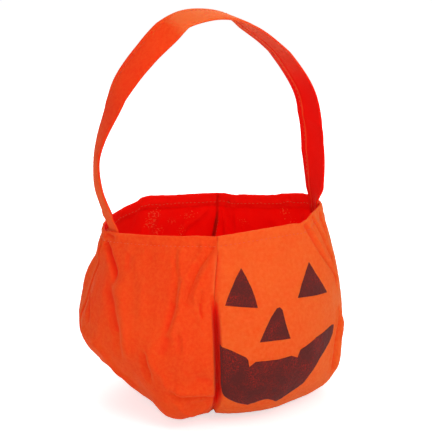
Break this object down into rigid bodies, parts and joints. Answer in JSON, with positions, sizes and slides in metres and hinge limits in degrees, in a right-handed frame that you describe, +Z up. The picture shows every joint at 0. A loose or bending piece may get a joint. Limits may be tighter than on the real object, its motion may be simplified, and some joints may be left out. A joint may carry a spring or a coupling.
{
  "type": "pumpkin candy basket",
  "caption": "Soft round felt trick-or-treat basket with a jack-o'-lantern face, an open hemmed mouth and a strap handle that swings over it.",
  "frame": {"origin": "middle of the part's outline box, on the surface that the bag stands on", "axes": "+Z up through the mouth, X along the strap from its left end to its right end, the front seam near -Y"},
  "size_m": [0.2474, 0.217, 0.357],
  "materials": {
    "face_felt": "matt felt, the lighter orange of the panel with the face",
    "orange_felt": "matt felt, red-orange",
    "thread": "matt sewing thread in the felt's colour",
    "print": "matt dark brown ink on felt, slightly mottled"
  },
  "bodies": {
    "bag": {"face_panel": "face_felt", "back_right_panel": "orange_felt", "back_left_panel": "orange_felt", "left_front_panel": "orange_felt", "face_hem_thread": "thread", "back_right_hem_thread": "thread", "back_left_hem_thread": "thread", "left_front_hem_thread": "thread", "front_seam_thread": "thread", "right_seam_thread": "thread", "back_seam_thread": "thread", "left_seam_thread": "thread", "handle_end_left": "orange_felt", "handle_end_right": "orange_felt", "handle_tack_left": "thread", "handle_tack_right": "thread", "left_eye_print": "print", "right_eye_print": "print", "nose_print": "print", "mouth_print": "print"},
    "handle": {"handle_strap": "orange_felt", "handle_edge_thread": "thread"}
  },
  "joints": [
    {"name": "handle_swing", "type": "hinge", "parent": "bag", "child": "handle", "pos_m": [-0.09416, 0.00021, 0.17747], "axis": [0.9963, 0, 0.0858], "range_deg": [-90, 90]}
  ]
}
